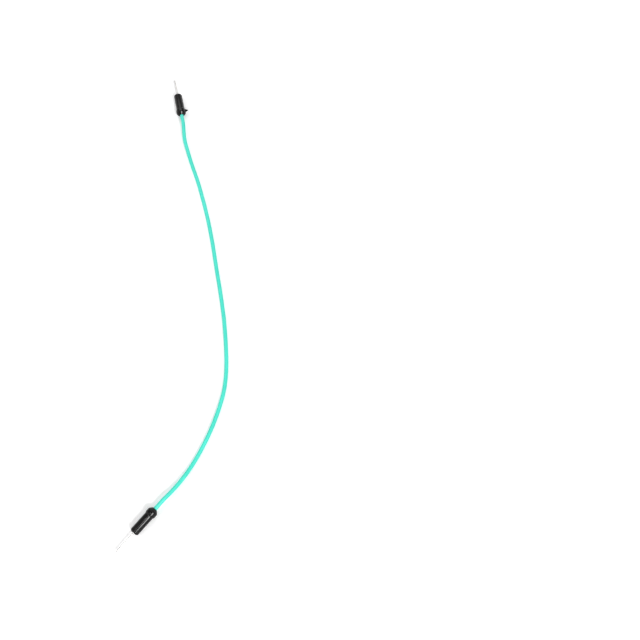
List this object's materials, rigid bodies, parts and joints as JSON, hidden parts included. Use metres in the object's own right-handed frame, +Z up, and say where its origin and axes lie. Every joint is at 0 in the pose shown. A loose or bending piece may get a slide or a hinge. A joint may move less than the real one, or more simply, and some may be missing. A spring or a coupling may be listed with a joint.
{
  "type": "breadboard jumper wire",
  "caption": "Insulated stranded jumper wire with a moulded black plug and a straight round pin at each end, lying in a loose curve.",
  "frame": {"origin": "on the surface the wire lies on, under the middle of the box that holds the two plugs and their pins", "axes": "+Z up, away from the surface; +Y from the middle towards plug A; +X to the side that the wire bows out to"},
  "size_m": [0.0343, 0.1894, 0.0047],
  "materials": {
    "insulation": "satin soft PVC, sea green",
    "moulding": "satin moulded PVC, black",
    "pin": "drawn and plated",
    "sleeve": "drawn tube, crimped",
    "conductor": "tinned copper strand"
  },
  "bodies": {
    "root": {"insulation": "insulation", "strand_middle": "conductor", "strand_1": "conductor", "strand_2": "conductor", "strand_3": "conductor", "strand_4": "conductor", "strand_5": "conductor", "strand_6": "conductor", "crimp_sleeve_a": "sleeve", "crimp_sleeve_b": "sleeve", "pin_a": "pin", "pin_b": "pin", "plug_a": "moulding", "plug_b": "moulding"}
  },
  "joints": []
}
